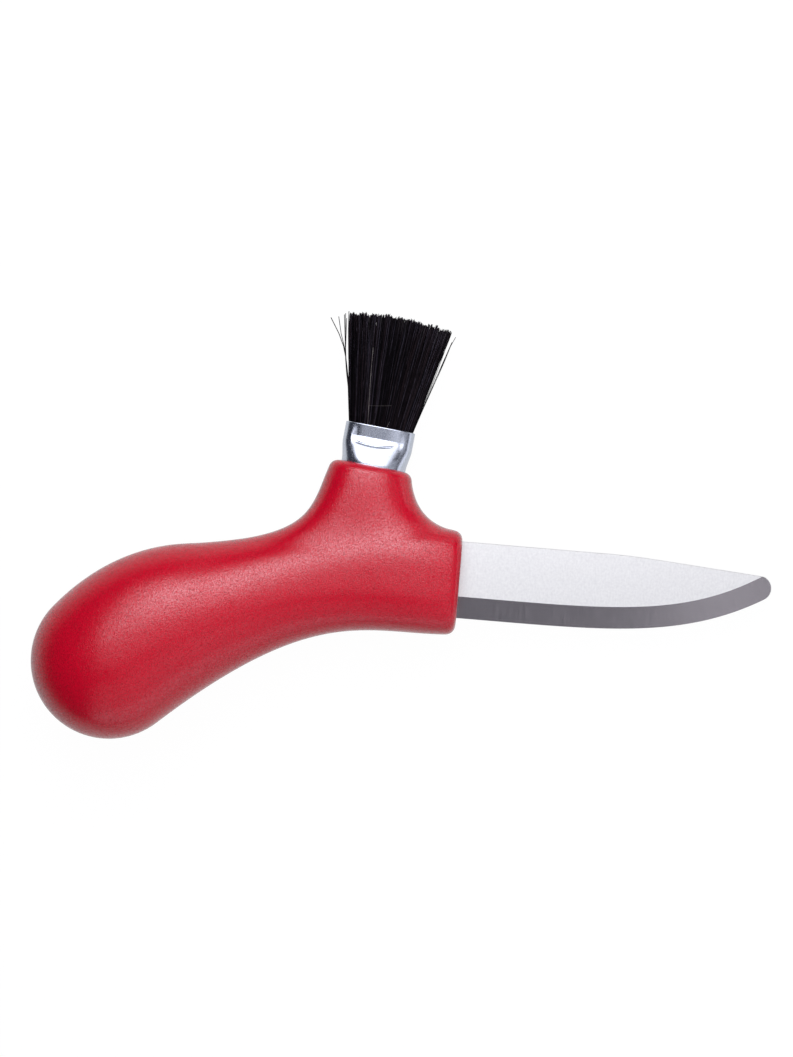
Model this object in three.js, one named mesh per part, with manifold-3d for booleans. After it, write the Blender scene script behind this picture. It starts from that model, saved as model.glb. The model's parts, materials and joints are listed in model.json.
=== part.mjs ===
// Mushroom knife: a short fixed blade moulded into a bent handle that ends in a bulb,
// with a flat brush in a metal ferrule set into a boss on the handle's back.
// Millimetres. Pieces are modelled in the knife's own axes: x along the blade to its tip,
// y towards the brush and z across the blade, from the point where the blade leaves the handle.
// The brush has axes of its own: y along its bristles, from the middle of the boss's end face.

import * as THREE from "three";
import { mergeVertices } from "three/addons/utils/BufferGeometryUtils.js";
import Module from "manifold-3d";

const wasm = await Module();
wasm.setup();

// Blade
const BLADE_LENGTH = 71.7;
const BLADE_THICKNESS = 2;
const SPINE_RISE = 8.95;
const SPINE_STRAIGHT = 33;
const SPINE_BEND = 12;
const SPINE_FALL_DEG = 4.2;
const EDGE_DROP = 8.7;
const EDGE_STRAIGHT = 9;
const EDGE_RISE_DEG = 30.6;
const TIP_RADIUS = 2.85;
const BEVEL_HEIGHT = 5;
const EDGE_LAND = 0.12;

// Tang, the part of the blade inside the handle
const HEEL_LENGTH = 8;
const TANG_LENGTH = 46;
const TANG_ROOT_WIDTH = 9;
const TANG_END_WIDTH = 6;
const TANG_DROP = 2.5;
const KEY_HOLE_DIAMETER = 4;
const KEY_HOLE_SETBACK = 20;

// Handle
const HANDLE_LENGTH = 96.6;
const BULB_DIAMETER = 36;
const BULB_THICKNESS = 29;
const BULB_DROP = 25.1;
const WAIST_SETBACK = 60;
const WAIST_RISE = 3.7;
const WAIST_SLOPE_DEG = 8.5;
const FRONT_RISE = 11.4;
const FRONT_DROP = 12.7;
const FRONT_THICKNESS = 20;
const FRONT_SLOPE_DEG = 9;
const BELLY_SLOPE_DEG = 3.5;
const EDGE_RADIUS = 2.2;

// Boss on the handle's back
const BOSS_SETBACK = 21.8;
const BOSS_RISE = 24.5;
const BOSS_LEAN_DEG = 6;
const BOSS_BACK_REACH = 10.1;
const BOSS_FRONT_REACH = 9.4;
const BOSS_THICKNESS = 15.4;
const BACK_DRAFT_DEG = 13;
const FRONT_DRAFT_DEG = 23;
const SIDE_DRAFT_DEG = 8;
const FLARE_BACK = 35;
const FLARE_FRONT = 19.4;

// Ferrule
const FERRULE_WIDTH = 14.9;
const FERRULE_THICKNESS = 11;
const MOUTH_WIDTH = 16.1;
const MOUTH_THICKNESS = 8;
const MOUTH_RISE = 9.1;
const MOUTH_BAND = 3.2;
const FERRULE_WALL = 0.45;
const SOCKET_DEPTH = 12;

// Filling of the ferrule, and its bristles
const GLUE_HEIGHT = 5;
const BACKING_HEIGHT = 2;
const BACKING_RECESS = 2.9;
const BRISTLE_LENGTH = 25.6;
const TUFT_WIDTH = 26.2;
const TUFT_THICKNESS = 10;
const TUFT_CROWN = 1.2;
const STRAND_DIAMETER = 0.34;
const STRAND_PITCH = 0.4;
const STRAND_MARGIN = 0.25;
const UNEVEN_TIPS = 0.8;
const BUNDLES = 4;
const ROWS_IN_BUNDLE = 3;

// Gap between a piece and what is moulded, glued or pressed round it
const FIT_GAP = 0.3;

const RED_PLASTIC = { color: 0xbe1128, roughness: 0.5, metalness: 0 };
const SATIN_STEEL = { color: 0xd4d4d8, roughness: 0.3, metalness: 1 };
const TINNED_SHEET = { color: 0xd9dbe0, roughness: 0.2, metalness: 1 };
const AMBER_RESIN = { color: 0x8a6a3c, roughness: 0.4, metalness: 0 };
const CLEAR_GLUE = { color: 0xd8d2bc, roughness: 0.5, metalness: 0 };
const BLACK_BRISTLE = { color: 0x14110f, roughness: 0.45, metalness: 0 };

const radians = THREE.MathUtils.degToRad;
const mix = THREE.MathUtils.lerp;
const smooth = (x, from, to) => THREE.MathUtils.smoothstep(x, from, to);
const across = new THREE.Vector3(0, 0, 1);

// A closed mesh as a solid that can be joined and cut.
function solidOf(geometry) {
  const bare = geometry.clone();
  bare.deleteAttribute("normal");
  bare.deleteAttribute("uv");
  const merged = mergeVertices(bare, 1e-4);
  return new wasm.Manifold(
    new wasm.Mesh({
      numProp: 3,
      vertProperties: new Float32Array(merged.attributes.position.array),
      triVerts: new Uint32Array(merged.index.array),
    }),
  );
}

function geometryOf(solid) {
  const { vertProperties, triVerts } = solid.getMesh();
  const geometry = new THREE.BufferGeometry();
  geometry.setAttribute("position", new THREE.BufferAttribute(vertProperties, 3));
  geometry.setIndex(new THREE.BufferAttribute(triVerts, 1));
  geometry.computeVertexNormals();
  return geometry;
}

// A skin through rings of equally many points, closed by a fan at each end.
function loft(rings, startPoint, endPoint) {
  const count = rings[0].length;
  const points = [...rings.flat(), startPoint, endPoint];
  const start = points.length - 2;
  const end = points.length - 1;
  const last = (rings.length - 1) * count;
  const faces = [];
  for (let i = 0; i < count; i++) {
    const next = (i + 1) % count;
    faces.push(start, next, i, end, last + i, last + next);
    for (let row = 0; row < last; row += count) {
      faces.push(row + i, row + next, row + count + i);
      faces.push(row + next, row + count + next, row + count + i);
    }
  }
  const geometry = new THREE.BufferGeometry().setFromPoints(points);
  geometry.setIndex(faces);
  return geometry;
}

// A point at an angle round a superellipse of half sizes 1: exponent 2 is an ellipse, more is squarer.
function ovalPoint(angle, exponent) {
  const bend = (x) => Math.sign(x) * Math.abs(x) ** (2 / exponent);
  return new THREE.Vector2(bend(Math.cos(angle)), bend(Math.sin(angle)));
}

// The angles of the points of a ring.
const turns = (count) => Array.from({ length: count }, (_, i) => (2 * Math.PI * i) / count);

// Blade
const spineFall = new THREE.Vector2(1, 0).rotateAround(new THREE.Vector2(), -radians(SPINE_FALL_DEG));
const edgeRise = new THREE.Vector2(1, 0).rotateAround(new THREE.Vector2(), radians(EDGE_RISE_DEG));

// The spine is straight, bends a little and falls straight to the round tip.
const spineBend = new THREE.Vector2(SPINE_STRAIGHT + SPINE_BEND / 2, SPINE_RISE);
const tipSetback = BLADE_LENGTH - TIP_RADIUS - spineBend.x;
const tipCentre = new THREE.Vector2(
  BLADE_LENGTH - TIP_RADIUS,
  SPINE_RISE - tipSetback * Math.tan(radians(SPINE_FALL_DEG)) - TIP_RADIUS / spineFall.x,
);
const edgeEnd = new THREE.Vector2(edgeRise.y, -edgeRise.x).multiplyScalar(TIP_RADIUS).add(tipCentre);

// The cutting edge, lowered by a margin: straight from the heel, then rising to the tip.
function edgeCurve(margin) {
  const start = new THREE.Vector2(EDGE_STRAIGHT, -EDGE_DROP - margin);
  const end = edgeEnd.clone().add(new THREE.Vector2(edgeRise.y, -edgeRise.x).multiplyScalar(margin));
  const span = end.x - start.x;
  const flat = new THREE.Vector2(start.x + 0.45 * span, start.y);
  const steep = end.clone().addScaledVector(edgeRise, -0.32 * span);
  return new THREE.CubicBezierCurve(start, flat, steep, end);
}

// The blade's outline with its tang, widened all round by a margin.
function bladeOutline(margin) {
  const spine = SPINE_RISE + margin;
  const heel = -HEEL_LENGTH - margin;
  const tangRoot = TANG_ROOT_WIDTH / 2 + margin;
  const tangEnd = TANG_END_WIDTH / 2 + margin;
  const bendEnd = new THREE.Vector2(spineBend.x, spine).addScaledVector(spineFall, SPINE_BEND / 2);
  const edge = edgeCurve(margin);
  const outline = new THREE.Shape();
  outline.moveTo(-TANG_LENGTH - margin, -TANG_DROP - tangEnd);
  outline.lineTo(heel, -TANG_DROP - tangRoot);
  outline.lineTo(heel, edge.v0.y);
  outline.lineTo(edge.v0.x, edge.v0.y);
  outline.bezierCurveTo(edge.v1.x, edge.v1.y, edge.v2.x, edge.v2.y, edge.v3.x, edge.v3.y);
  outline.absarc(
    tipCentre.x,
    tipCentre.y,
    TIP_RADIUS + margin,
    radians(EDGE_RISE_DEG - 90),
    radians(90 - SPINE_FALL_DEG),
    false,
  );
  outline.lineTo(bendEnd.x, bendEnd.y);
  outline.quadraticCurveTo(spineBend.x, spine, SPINE_STRAIGHT, spine);
  outline.lineTo(heel, spine);
  outline.lineTo(heel, -TANG_DROP + tangRoot);
  outline.lineTo(-TANG_LENGTH - margin, -TANG_DROP + tangEnd);
  const hole = new THREE.Path();
  hole.absarc(-KEY_HOLE_SETBACK, -TANG_DROP, KEY_HOLE_DIAMETER / 2 - margin, 0, 2 * Math.PI, true);
  outline.holes.push(hole);
  return outline;
}

// What grinding takes off one face: a wedge drawn along the cutting edge and on past the tip.
function bevelWedge(margin, side) {
  const steps = 20;
  const overrun = 2;
  const edge = edgeCurve(margin);
  const stations = [{ point: new THREE.Vector2(-HEEL_LENGTH - overrun, edge.v0.y), along: new THREE.Vector2(1, 0) }];
  for (let i = 0; i <= steps; i++) {
    stations.push({ point: edge.getPoint(i / steps), along: edge.getTangent(i / steps) });
  }
  const past = edge.v3.clone().addScaledVector(edgeRise, 2 * TIP_RADIUS + overrun);
  stations.push({ point: past, along: edgeRise });
  const land = EDGE_LAND / 2 + margin;
  const slope = (BLADE_THICKNESS - EDGE_LAND) / 2 / BEVEL_HEIGHT;
  const depth = BEVEL_HEIGHT + overrun;
  const corners = [
    [-overrun, land - overrun * slope],
    [depth, land + depth * slope],
    [-overrun, land + depth * slope],
  ];
  const rings = stations.map(({ point, along }) =>
    corners.map(([inward, height]) => {
      const at = point.clone().add(new THREE.Vector2(-along.y, along.x).multiplyScalar(inward));
      return new THREE.Vector3(at.x, at.y, side * height);
    }),
  );
  if (side < 0) rings.forEach((ring) => ring.reverse());
  const middle = (ring) => ring.reduce((sum, p) => sum.add(p), new THREE.Vector3()).divideScalar(ring.length);
  return loft(rings, middle(rings[0]), middle(rings.at(-1)));
}

// The ground blade; with a margin, the room that it takes in the handle.
function bladeSolid(margin) {
  const depth = BLADE_THICKNESS + 2 * margin;
  const blank = new THREE.ExtrudeGeometry(bladeOutline(margin), { depth, bevelEnabled: false, curveSegments: 20 });
  blank.translate(0, 0, -depth / 2);
  return [1, -1].reduce((solid, side) => solid.subtract(solidOf(bevelWedge(margin, side))), solidOf(blank));
}

// Handle: a loft of ovals between two rails, the top and bottom of its side view.
// Both rails start at the butt, run round the bulb and end where the front edge starts to round.
const bulbCentre = new THREE.Vector2(BULB_DIAMETER / 2 - HANDLE_LENGTH, -BULB_DROP);
const BUTT_ANGLE = radians(220);
const TOP_LEAVES_BULB = radians(140);
const BOTTOM_LEAVES_BULB = radians(312);
const heading = (angle) => new THREE.Vector2(Math.cos(angle), Math.sin(angle));

// Adds a curve that leaves one heading for another, each held for a share of the run.
function sweepTo(path, leaving, hold, end, arriving, holdBefore) {
  const run = end.x - path.currentPoint.x;
  const first = path.currentPoint.clone().addScaledVector(heading(leaving), hold * run);
  const second = end.clone().addScaledVector(heading(arriving), -holdBefore * run);
  path.bezierCurveTo(first.x, first.y, second.x, second.y, end.x, end.y);
}

const waistSlope = radians(WAIST_SLOPE_DEG);
const topRail = new THREE.Path();
topRail.absarc(bulbCentre.x, bulbCentre.y, BULB_DIAMETER / 2, BUTT_ANGLE, TOP_LEAVES_BULB, true);
const waist = new THREE.Vector2(-WAIST_SETBACK, WAIST_RISE);
sweepTo(topRail, TOP_LEAVES_BULB - Math.PI / 2, 0.64, waist, waistSlope, 0.15);
const frontTop = new THREE.Vector2(-EDGE_RADIUS, FRONT_RISE);
sweepTo(topRail, waistSlope, 0.33, frontTop, -radians(FRONT_SLOPE_DEG), 0.33);

const bottomRail = new THREE.Path();
bottomRail.absarc(bulbCentre.x, bulbCentre.y, BULB_DIAMETER / 2, BUTT_ANGLE, BOTTOM_LEAVES_BULB, false);
const frontBottom = new THREE.Vector2(-EDGE_RADIUS, -FRONT_DROP);
sweepTo(bottomRail, BOTTOM_LEAVES_BULB - 1.5 * Math.PI, 0.7, frontBottom, radians(BELLY_SLOPE_DEG), 0.29);

const GRIP_RINGS = 44;
const GRIP_POINTS = 36;

// The handle's section at a share of the way from the butt to the front.
function gripSection(share) {
  const top = topRail.getPointAt(share);
  const bottom = bottomRail.getPointAt(share);
  const halfDepth = top.distanceTo(bottom) / 2;
  const bulbRatio = BULB_THICKNESS / BULB_DIAMETER;
  const frontRatio = FRONT_THICKNESS / (FRONT_RISE + FRONT_DROP);
  const up = top.clone().sub(bottom).normalize();
  const centre = top.clone().add(bottom).divideScalar(2);
  return {
    centre: new THREE.Vector3(centre.x, centre.y, 0),
    up: new THREE.Vector3(up.x, up.y, 0),
    halfDepth,
    halfThickness: halfDepth * mix(bulbRatio, frontRatio, smooth(share, 0.3, 1)),
    exponent: mix(2, 2.35, smooth(share, 0.4, 1)),
  };
}

// A point on a section, at an angle from its top, drawn in from the skin by an inset.
function pointOnSection(section, angle, inset = 0) {
  const { centre, up, halfDepth, halfThickness, exponent } = section;
  const oval = ovalPoint(angle, exponent);
  return centre
    .clone()
    .addScaledVector(up, oval.x * (halfDepth - inset))
    .addScaledVector(across, oval.y * (halfThickness - inset));
}

const gripPoint = (share, angle, inset) => pointOnSection(gripSection(share), angle, inset);

// Steps of a quarter round: how far it has come out and how far it has drawn in.
const quarterRound = [1, 2, 3, 4].map((step) => {
  const angle = (step / 4) * (Math.PI / 2);
  return { out: EDGE_RADIUS * Math.sin(angle), inset: EDGE_RADIUS * (1 - Math.cos(angle)) };
});

function gripSolid() {
  const angles = turns(GRIP_POINTS);
  const rings = [];
  for (let i = 1; i <= GRIP_RINGS; i++) {
    const section = gripSection(i / GRIP_RINGS);
    rings.push(angles.map((angle) => pointOnSection(section, angle)));
  }
  const front = gripSection(1);
  for (const { out, inset } of quarterRound) {
    const push = new THREE.Vector3(out, 0, 0);
    rings.push(angles.map((angle) => pointOnSection(front, angle, inset).add(push)));
  }
  const butt = topRail.getPointAt(0);
  const frontCentre = front.centre.clone().add(new THREE.Vector3(EDGE_RADIUS, 0, 0));
  return solidOf(loft(rings, new THREE.Vector3(butt.x, butt.y, 0), frontCentre));
}

// The brush's own axes, in the knife's.
const brushFrame = new THREE.Matrix4()
  .makeRotationZ(-radians(BOSS_LEAN_DEG))
  .setPosition(-BOSS_SETBACK, BOSS_RISE, 0);
const brushAxis = new THREE.Vector3(0, 1, 0).transformDirection(brushFrame);

// The share of the way along the handle at which its top is at x.
function shareAt(x) {
  let low = 0.3;
  let high = 1;
  for (let i = 0; i < 40; i++) {
    const middle = (low + high) / 2;
    if (topRail.getPointAt(middle).x < x) low = middle;
    else high = middle;
  }
  return low;
}

// The boss: lines that leave the handle's skin along it, and sweep up to the boss's round-edged end.
function bossSolid() {
  const count = 40;
  const steps = 9;
  const sink = 0.1;
  const wrap = radians(66);
  const exponent = 2.5;
  const middle = shareAt(-BOSS_SETBACK);
  const back = shareAt(-BOSS_SETBACK - FLARE_BACK);
  const front = shareAt(-BOSS_SETBACK + FLARE_FRONT);
  const rimPoint = (angle, out, inset) => {
    const oval = ovalPoint(angle, exponent);
    const x = oval.x * ((oval.x > 0 ? BOSS_FRONT_REACH : BOSS_BACK_REACH) - inset);
    const z = oval.y * (BOSS_THICKNESS / 2 - inset);
    return new THREE.Vector3(x, out - EDGE_RADIUS, z).applyMatrix4(brushFrame);
  };
  const lines = turns(count).map((angle) => {
    const facesFront = Math.cos(angle) > 0;
    const reach = facesFront ? front - middle : middle - back;
    const share = middle + reach * Math.cos(angle);
    const turn = wrap * Math.sin(angle);
    const endwise = Math.cos(angle) ** 2;
    const draft = mix(SIDE_DRAFT_DEG, facesFront ? FRONT_DRAFT_DEG : BACK_DRAFT_DEG, endwise);
    const footHold = mix(0.36, facesFront ? 0.6 : 0.72, endwise);
    const rimHold = mix(0.38, facesFront ? 0.12 : 0.34, endwise);
    const foot = gripPoint(share, turn, sink);
    const inwards = gripPoint(mix(share, middle, 0.05), turn * 0.95, sink).sub(foot).normalize();
    const rim = rimPoint(angle, 0, 0);
    const outwards = rimPoint(angle, 0, -1).sub(rim).normalize();
    const down = outwards.multiplyScalar(Math.tan(radians(draft))).sub(brushAxis).normalize();
    const span = foot.distanceTo(rim);
    const sweep = new THREE.CubicBezierCurve3(
      foot,
      foot.clone().addScaledVector(inwards, footHold * span),
      rim.clone().addScaledVector(down, rimHold * span),
      rim,
    );
    return { angle, points: sweep.getPoints(steps) };
  });
  const rings = [];
  for (let i = 0; i <= steps; i++) rings.push(lines.map(({ points }) => points[i]));
  for (const { out, inset } of quarterRound) {
    rings.push(lines.map(({ angle }) => rimPoint(angle, out, inset)));
  }
  const root = gripSection(middle).centre;
  const endCentre = new THREE.Vector3().applyMatrix4(brushFrame);
  rings.forEach((ring) => ring.reverse());
  return solidOf(loft(rings, root, endCentre));
}

// Ferrule: oval where the boss holds it, pressed flat towards its mouth.
const FERRULE_POINTS = 36;

function ferruleRing(height, offset) {
  const pressed = smooth(height, 0.5, MOUTH_RISE - MOUTH_BAND);
  const halfWidth = mix(FERRULE_WIDTH, MOUTH_WIDTH, pressed) / 2 + offset;
  const halfThickness = mix(FERRULE_THICKNESS, MOUTH_THICKNESS, pressed) / 2 + offset;
  const exponent = mix(2.2, 3.2, pressed);
  return turns(FERRULE_POINTS).map((angle) => {
    const oval = ovalPoint(angle, exponent);
    return new THREE.Vector3(oval.x * halfWidth, height, -oval.y * halfThickness);
  });
}

// The ferrule's form between two heights on the brush's axis, offset from its outer skin.
function ferruleForm(from, to, offset) {
  const bends = [];
  for (let i = 0; i <= 6; i++) bends.push(mix(0.5, MOUTH_RISE - MOUTH_BAND, i / 6));
  const heights = [from, ...bends.filter((height) => height > from && height < to), to];
  const rings = heights.map((height) => ferruleRing(height, offset));
  return solidOf(loft(rings, new THREE.Vector3(0, from, 0), new THREE.Vector3(0, to, 0)));
}

function ferruleSolid() {
  const past = 1;
  const bore = ferruleForm(-SOCKET_DEPTH - past, MOUTH_RISE + past, -FERRULE_WALL);
  return ferruleForm(-SOCKET_DEPTH, MOUTH_RISE, 0).subtract(bore);
}

// What fills the ferrule's bore between two heights.
const fillOffset = -FERRULE_WALL - FIT_GAP;
const fillSolid = (from, to) => ferruleForm(from, to, fillOffset);

const glueTop = -SOCKET_DEPTH + GLUE_HEIGHT;
const backingTop = MOUTH_RISE - BACKING_RECESS;
const backingBottom = backingTop - BACKING_HEIGHT;

// A repeatable number from 0 to 1 for each strand.
const scatter = (index) => (Math.abs(Math.sin(index * 12.9898) * 43758.5453) % 1);

// The strands stand in an oval inside the bore, and spread evenly from their roots to the tuft's end.
const rootHalfWidth = MOUTH_WIDTH / 2 + fillOffset - STRAND_MARGIN - STRAND_DIAMETER;
const rootHalfThickness = MOUTH_THICKNESS / 2 + fillOffset - STRAND_MARGIN;
const widen = (TUFT_WIDTH - STRAND_DIAMETER) / 2 / rootHalfWidth;
const thicken = (TUFT_THICKNESS - STRAND_DIAMETER) / 2 / rootHalfThickness;

// A three-sided ring of a strand.
function strandRing(x, height, z) {
  const radius = STRAND_DIAMETER / 2;
  return turns(3).map(
    (angle) => new THREE.Vector3(x + radius * Math.cos(angle), height, z - radius * Math.sin(angle)),
  );
}

function strandSolid(rootX, rootZ, scatterIndex) {
  const crown = TUFT_CROWN * (rootX / rootHalfWidth) ** 2;
  const tip = MOUTH_RISE + BRISTLE_LENGTH - crown - UNEVEN_TIPS * scatter(scatterIndex);
  const foot = backingTop - BACKING_HEIGHT / 2;
  const spread = (tip - backingTop) / (MOUTH_RISE + BRISTLE_LENGTH - backingTop);
  const endX = rootX * mix(1, widen, spread);
  const endZ = rootZ * mix(1, thicken, spread);
  const rings = [strandRing(rootX, foot, rootZ), strandRing(rootX, backingTop, rootZ), strandRing(endX, tip, endZ)];
  return solidOf(loft(rings, new THREE.Vector3(rootX, foot, rootZ), new THREE.Vector3(endX, tip, endZ)));
}

// One layer of the backing with the rows of strands that stand in it.
function bundleSolid(index) {
  const layer = (2 * rootHalfThickness + FIT_GAP) / BUNDLES;
  const centreZ = -rootHalfThickness + layer * (index + 0.5) - FIT_GAP / 2;
  const slab = new THREE.BoxGeometry(2 * MOUTH_WIDTH, 4 * BACKING_HEIGHT, layer - FIT_GAP);
  slab.translate(0, backingTop, centreZ);
  let solid = fillSolid(backingBottom, backingTop).intersect(solidOf(slab));
  const rowPitch = (layer - FIT_GAP - STRAND_DIAMETER) / (ROWS_IN_BUNDLE - 1);
  for (let row = 0; row < ROWS_IN_BUNDLE; row++) {
    const rootZ = centreZ + rowPitch * (row - (ROWS_IN_BUNDLE - 1) / 2);
    const rowIndex = row + index * ROWS_IN_BUNDLE;
    const rowHalfWidth = rootHalfWidth * (1 - Math.abs(rootZ / rootHalfThickness) ** 3) ** (1 / 3);
    const count = Math.floor((2 * rowHalfWidth) / STRAND_PITCH) - (rowIndex % 2);
    for (let i = 0; i <= count; i++) {
      const rootX = (i - count / 2) * STRAND_PITCH;
      solid = solid.add(strandSolid(rootX, rootZ, i + 71 * rowIndex));
    }
  }
  return solid;
}

function piece(name, solid, finish) {
  const mesh = new THREE.Mesh(geometryOf(solid), new THREE.MeshStandardMaterial(finish));
  mesh.name = name;
  return mesh;
}

// The handle is moulded round the blade's heel and tang, with a socket for the ferrule.
function handleSolid() {
  const socket = ferruleForm(-SOCKET_DEPTH - FIT_GAP, MOUTH_RISE, FIT_GAP).transform(brushFrame.elements);
  return gripSolid().add(bossSolid()).subtract(bladeSolid(FIT_GAP)).subtract(socket);
}

const brush = new THREE.Group();
brush.applyMatrix4(brushFrame);
brush.add(piece("ferrule", ferruleSolid(), TINNED_SHEET));
brush.add(piece("socket_glue", fillSolid(-SOCKET_DEPTH, glueTop), CLEAR_GLUE));
brush.add(piece("setting_resin", fillSolid(glueTop + FIT_GAP, backingBottom - FIT_GAP), AMBER_RESIN));
for (let i = 0; i < BUNDLES; i++) brush.add(piece(`bristles_${i + 1}`, bundleSolid(i), BLACK_BRISTLE));

const handle = piece("handle", handleSolid(), RED_PLASTIC);
const knife = new THREE.Group();
knife.add(handle, piece("blade", bladeSolid(0), SATIN_STEEL), brush);

// The lowest of a mesh's points whose x in the knife's axes lies in a range.
function lowestPoint(mesh, from, to) {
  const points = mesh.geometry.attributes.position;
  let lowest = null;
  for (let i = 0; i < points.count; i++) {
    const x = points.getX(i);
    if (x < from || x > to) continue;
    const point = mesh.localToWorld(new THREE.Vector3().fromBufferAttribute(points, i));
    if (!lowest || point.z < lowest.z) lowest = point;
  }
  return lowest;
}

// Lays the knife on its side, on its bulb, the front of its handle and the bristle tips.
function layOnSide() {
  const up = new THREE.Vector3(0, 0, 1);
  for (let i = 0; i < 12; i++) {
    knife.updateMatrixWorld(true);
    const butt = lowestPoint(handle, -HANDLE_LENGTH, -WAIST_SETBACK);
    const front = lowestPoint(handle, -WAIST_SETBACK / 2, 0);
    const tips = lowestPoint(brush.getObjectByName("bristles_1"), -TUFT_WIDTH, TUFT_WIDTH);
    const stand = new THREE.Plane().setFromCoplanarPoints(butt, front, tips);
    knife.quaternion.premultiply(new THREE.Quaternion().setFromUnitVectors(stand.normal, up));
  }
}

layOnSide();
const box = new THREE.Box3().setFromObject(knife, true);
const middle = box.getCenter(new THREE.Vector3());
knife.position.set(-middle.x, -middle.y, -box.min.z);

export default knife;
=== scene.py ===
# %% [markdown]
# # A mushroom knife with a brush
#
# A forager cuts the mushroom with the short blade and sweeps the soil off it with the brush
# on the handle's back. The knife has a moulded handle, a ground steel blade, a pressed metal
# ferrule, a tuft of bristles, and the resin and glue that hold the brush together.
# The bare solids give every place and size. They could be shown as they are, but their faces
# are few and their finishes flat, so each piece that shows is made again here, finer.

import json
import math

import bmesh
import bpy
import numpy as np
from mathutils import Matrix, Vector
from mathutils.geometry import delaunay_2d_cdt


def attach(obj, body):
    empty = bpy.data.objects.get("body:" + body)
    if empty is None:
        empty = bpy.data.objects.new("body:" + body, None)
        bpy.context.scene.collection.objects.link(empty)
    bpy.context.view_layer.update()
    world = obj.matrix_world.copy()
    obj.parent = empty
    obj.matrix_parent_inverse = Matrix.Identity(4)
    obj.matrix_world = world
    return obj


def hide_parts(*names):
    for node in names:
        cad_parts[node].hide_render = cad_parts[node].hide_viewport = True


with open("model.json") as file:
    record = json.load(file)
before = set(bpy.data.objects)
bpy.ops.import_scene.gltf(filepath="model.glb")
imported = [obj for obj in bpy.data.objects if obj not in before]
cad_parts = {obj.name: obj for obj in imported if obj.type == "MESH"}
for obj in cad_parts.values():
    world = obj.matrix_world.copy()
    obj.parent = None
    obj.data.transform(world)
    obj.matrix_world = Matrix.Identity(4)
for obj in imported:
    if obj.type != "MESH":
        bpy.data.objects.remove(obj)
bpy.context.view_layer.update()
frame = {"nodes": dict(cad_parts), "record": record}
print("solids:", ", ".join(sorted(frame["nodes"])))

# %% [markdown]
# ## The knife's own axes
#
# The knife lies on its side, a little tilted, on its bulb, the front of its handle and its
# bristle tips. Its shapes are far easier to write along the knife itself: x along the blade
# to the tip, y towards the brush and z off the blade's flat, in millimetres, from the point
# where the blade leaves the handle. The tilt could be typed in, but the record already holds
# two marked faces, the handle's front and the blade's flat, and these give all three axes.

# %% Find the axes
MM = 0.001
FRONT_MARK_OFFSET = 4.5
marks = {mark["name"]: mark for mark in frame["record"]["mounts"]}
to_tip = Vector(marks["handle_front"]["axis"]).normalized()
off_flat = Vector(marks["blade_flat"]["axis"]).normalized()
to_brush = off_flat.cross(to_tip).normalized()
knife_start = Vector(marks["handle_front"]["pos_m"]) - FRONT_MARK_OFFSET * MM * off_flat
knife_turn = np.array(Matrix((to_tip, to_brush, off_flat)).transposed())
knife_shift = np.array(knife_start)
print("knife starts at", [round(x, 4) for x in knife_start])

# %% [markdown]
# ## Points and faces
#
# Each piece is a list of points and a list of faces. Blender's edit tools could shape them
# by hand, but numbers can be measured, corrected and run again. A few helpers do what every
# piece needs: put a mesh down in the room, skin a row of rings, and work out its modifiers
# for good. Every finished piece also remembers, in an attribute, where each of its points is
# along the knife in millimetres, so that grain and grinding marks keep their real size.

# %% Mesh helpers


def blend_of(start, end, share):
    return start + (end - start) * share


def ease(x, start, end):
    share = np.clip((x - start) / (end - start), 0, 1)
    return share * share * (3 - 2 * share)


def set_down(name, points, faces):
    mesh = bpy.data.meshes.new(name)
    mesh.from_pydata((np.asarray(points) * MM @ knife_turn.T + knife_shift).tolist(), [], faces)
    shell = bmesh.new()
    shell.from_mesh(mesh)
    bmesh.ops.recalc_face_normals(shell, faces=shell.faces)
    shell.to_mesh(mesh)
    shell.free()
    piece = bpy.data.objects.new(name, mesh)
    bpy.context.scene.collection.objects.link(piece)
    return piece


def skin(rings, first, last):
    rows, count = rings.shape[:2]
    grid = np.arange(rows * count).reshape(rows, count)
    ahead = np.roll(grid, -1, 1)
    quads = np.stack((grid[:-1], ahead[:-1], ahead[1:], grid[1:]), -1).reshape(-1, 4)
    start, end = grid.size, grid.size + 1
    fans = [(start, b, a) for a, b in zip(grid[0].tolist(), ahead[0].tolist())]
    fans += [(end, a, b) for a, b in zip(grid[-1].tolist(), ahead[-1].tolist())]
    return np.vstack((rings.reshape(-1, 3), first, last)), quads.tolist() + fans


def together(*shells):
    points, faces = [], []
    for shell_points, shell_faces in shells:
        step = sum(map(len, points))
        points.append(shell_points)
        faces += [[corner + step for corner in face] for face in shell_faces]
    return np.vstack(points), faces


print("mesh helpers ready")

# %% Helpers for finished pieces


def settle(piece):
    graph = bpy.context.evaluated_depsgraph_get()
    bare = piece.data
    piece.data = bpy.data.meshes.new_from_object(piece.evaluated_get(graph))
    piece.modifiers.clear()
    bpy.data.meshes.remove(bare)


def carve(piece, *tools):
    for tool in tools:
        cut = piece.modifiers.new("cut", "BOOLEAN")
        cut.operation, cut.solver, cut.object = "DIFFERENCE", "EXACT", tool
    settle(piece)
    for tool in tools:
        bpy.data.objects.remove(tool)


def knife_places(piece):
    flat = np.empty(len(piece.data.vertices) * 3)
    piece.data.vertices.foreach_get("co", flat)
    return (flat.reshape(-1, 3) - knife_shift) @ knife_turn / MM


def remember(piece, name, values, kind="FLOAT_VECTOR"):
    field = "vector" if kind == "FLOAT_VECTOR" else "value"
    kept = piece.data.attributes.new(name, kind, "POINT")
    kept.data.foreach_set(field, np.asarray(values, np.float32).ravel())


def finish_shape(piece, name, crease_deg):
    piece.name = piece.data.name = name
    piece.data.shade_smooth()
    piece.data.set_sharp_from_angle(angle=math.radians(crease_deg))
    remember(piece, "along_knife", knife_places(piece))
    print(f"{name}: {len(piece.data.polygons)} faces")


print("piece helpers ready")

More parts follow.
